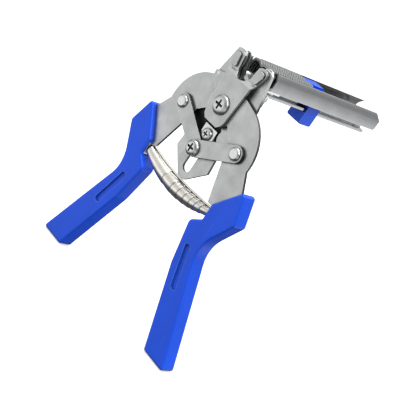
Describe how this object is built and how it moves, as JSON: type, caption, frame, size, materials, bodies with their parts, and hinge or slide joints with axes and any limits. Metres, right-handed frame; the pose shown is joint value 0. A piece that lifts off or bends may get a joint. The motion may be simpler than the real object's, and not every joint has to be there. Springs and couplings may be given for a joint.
{
  "type": "magazine-fed wire cage clip pliers",
  "caption": "Blue-gripped steel hand pliers with crossed levers, a toggle linkage and a rear magazine that feeds bent clips to a pronged wire notch.",
  "frame": {"origin": "centre of the flat rear end face of the pivot nut, on the main pivot axis", "axes": "+Z from the pivot up to the jaws, +Y back along the magazine, +X to the right of a user who looks at the front plate; the handles hang down"},
  "size_m": [0.1496, 0.134, 0.1818],
  "materials": {
    "plate_steel": "satin",
    "zinc_steel": "bright zinc",
    "magazine_steel": "satin",
    "black_steel": "blackened",
    "clip_steel": "galvanised",
    "spring_steel": "bright",
    "blue_plastic": "satin gloss"
  },
  "bodies": {
    "frame": {"rear_plate": "plate_steel", "front_plate": "plate_steel", "pivot_screw": "zinc_steel", "pivot_nut": "zinc_steel", "pivot_sleeve": "zinc_steel", "anvil": "black_steel", "feed_leaf": "black_steel", "feed_block": "zinc_steel", "feed_screw": "zinc_steel", "magazine_channel": "magazine_steel", "lower_rail": "magazine_steel", "magazine_bracket": "plate_steel", "bracket_rivet_left": "zinc_steel", "bracket_rivet_right": "zinc_steel", "floor_screw_left": "zinc_steel", "floor_screw_right": "zinc_steel", "clip_stick": "clip_steel", "front_clip": "clip_steel"},
    "left_handle": {"left_lever": "plate_steel", "left_grip": "blue_plastic", "left_pin": "zinc_steel", "left_spring_stud": "zinc_steel"},
    "right_handle": {"right_lever": "plate_steel", "right_grip": "blue_plastic", "right_pin": "zinc_steel", "right_spring_stud": "zinc_steel", "jaw_block": "plate_steel", "jaw_rivet_inner": "zinc_steel", "jaw_rivet_outer": "zinc_steel"},
    "left_link": {"left_link": "plate_steel"},
    "right_link": {"right_link": "plate_steel", "toggle_screw": "zinc_steel", "toggle_washer": "zinc_steel", "toggle_nut": "zinc_steel"},
    "pusher": {"pusher": "blue_plastic"},
    "return_spring": {"spring_outer": "spring_steel", "spring_inner": "spring_steel"}
  },
  "joints": [
    {"name": "left_close", "type": "hinge", "parent": "frame", "child": "left_handle", "pos_m": [0, 0, 0], "axis": [0, -1, 0], "range_deg": [0, 13], "stiffness_Nm_per_rad": 3, "springref_deg": -8.59, "deforming": ["spring_outer", "spring_inner"]},
    {"name": "right_close", "type": "hinge", "parent": "frame", "child": "right_handle", "pos_m": [0, 0, 0], "axis": [0, 1, 0], "range_deg": [0, 13], "stiffness_Nm_per_rad": 3, "springref_deg": -8.59},
    {"name": "spring_drop", "type": "slide", "parent": "frame", "child": "return_spring", "axis": [0, 0, -1], "range_m": [0, 0.0062], "deforming": ["spring_outer", "spring_inner"]},
    {"name": "left_link_turn", "type": "hinge", "parent": "left_handle", "child": "left_link", "pos_m": [-0.0302, 0, -0.01606], "axis": [0, 1, 0], "range_deg": [0, 26]},
    {"name": "right_link_turn", "type": "hinge", "parent": "right_handle", "child": "right_link", "pos_m": [0.0302, 0, -0.01606], "axis": [0, -1, 0], "range_deg": [0, 26]},
    {"name": "pusher_slide", "type": "slide", "parent": "frame", "child": "pusher", "axis": [0, 1, 0], "range_m": [0, 0.05], "stiffness_N_per_m": 60, "springref_m": -0.02}
  ],
  "couplings": [
    {"joint": "right_close", "follows": "left_close", "ratio": 1},
    {"joint": "spring_drop", "follows": "left_close", "m_per_rad": 0.0273},
    {"joint": "left_link_turn", "follows": "left_close", "ratio": 2},
    {"joint": "right_link_turn", "follows": "left_close", "ratio": 2}
  ]
}
